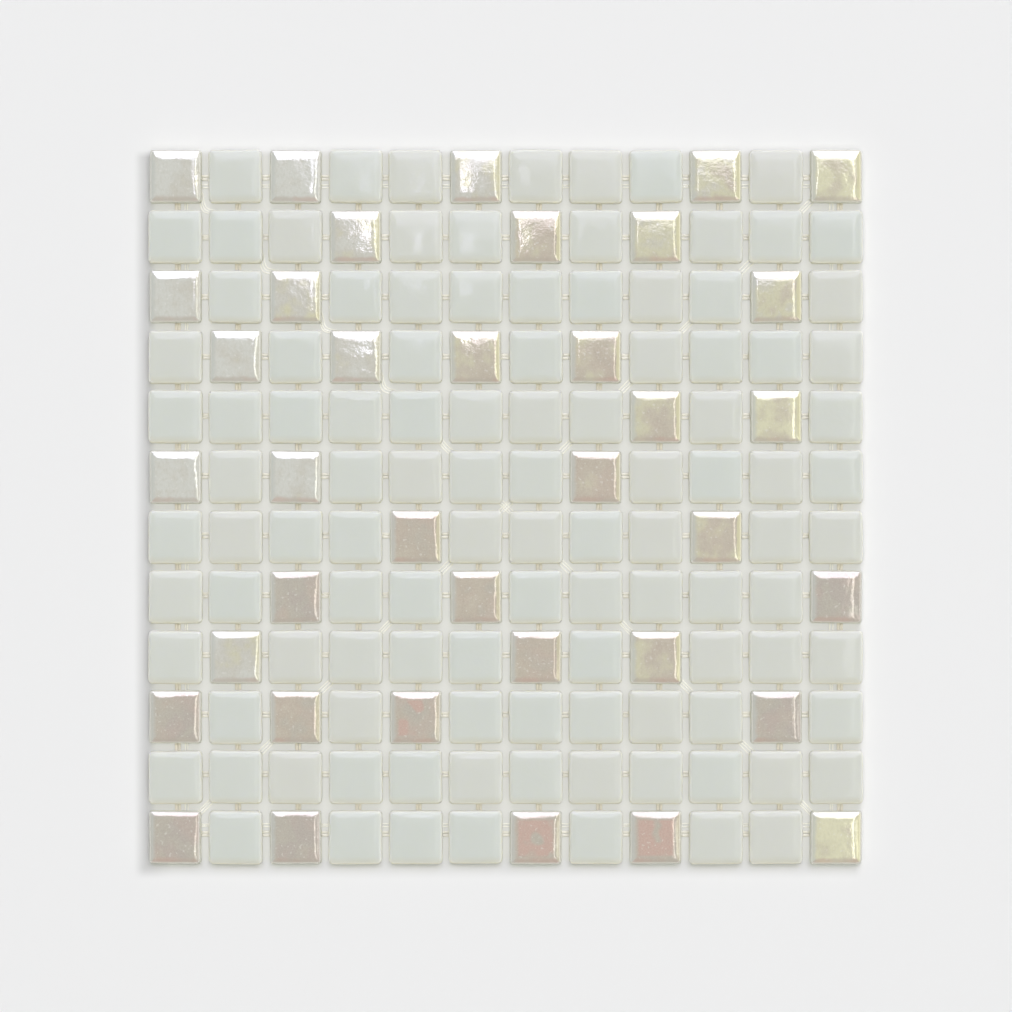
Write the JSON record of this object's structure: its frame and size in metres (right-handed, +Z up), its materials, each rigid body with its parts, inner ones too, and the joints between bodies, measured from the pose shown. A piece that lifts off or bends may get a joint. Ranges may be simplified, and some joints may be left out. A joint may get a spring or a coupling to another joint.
{
  "type": "mosaic tile sheet",
  "caption": "Square sheet of small pressed glass mosaic tiles, milky white with scattered pearl lustre ones, held at an even open joint by a net of threads on the back.",
  "frame": {"origin": "middle of the sheet on the surface that it lies on", "axes": "+Z up out of the tile faces, +Y towards the first row of tiles, +X to the right along the rows, seen from above"},
  "size_m": [0.311, 0.311, 0.0056],
  "materials": {
    "white_glass": "glossy opaque milk-white pressed glass",
    "lustre_glass": "pearl lustre on pressed glass, mirror-like",
    "thread": "tan multifilament yarn set with clear adhesive",
    "fine_filament": "pale translucent filament"
  },
  "bodies": {
    "root": {"border_column_filaments": "fine_filament", "border_row_filaments": "fine_filament", "column_threads": "thread", "falling_diagonal_filaments": "fine_filament", "rising_diagonal_filaments": "fine_filament", "row_01_lustre_tiles": "lustre_glass", "row_01_white_tiles": "white_glass", "row_02_lustre_tiles": "lustre_glass", "row_02_white_tiles": "white_glass", "row_03_lustre_tiles": "lustre_glass", "row_03_white_tiles": "white_glass", "row_04_lustre_tiles": "lustre_glass", "row_04_white_tiles": "white_glass", "row_05_lustre_tiles": "lustre_glass", "row_05_white_tiles": "white_glass", "row_06_lustre_tiles": "lustre_glass", "row_06_white_tiles": "white_glass", "row_07_lustre_tiles": "lustre_glass", "row_07_white_tiles": "white_glass", "row_08_lustre_tiles": "lustre_glass", "row_08_white_tiles": "white_glass", "row_09_lustre_tiles": "lustre_glass", "row_09_white_tiles": "white_glass", "row_10_lustre_tiles": "lustre_glass", "row_10_white_tiles": "white_glass", "row_11_white_tiles": "white_glass", "row_12_lustre_tiles": "lustre_glass", "row_12_white_tiles": "white_glass", "row_threads": "thread"}
  },
  "joints": []
}
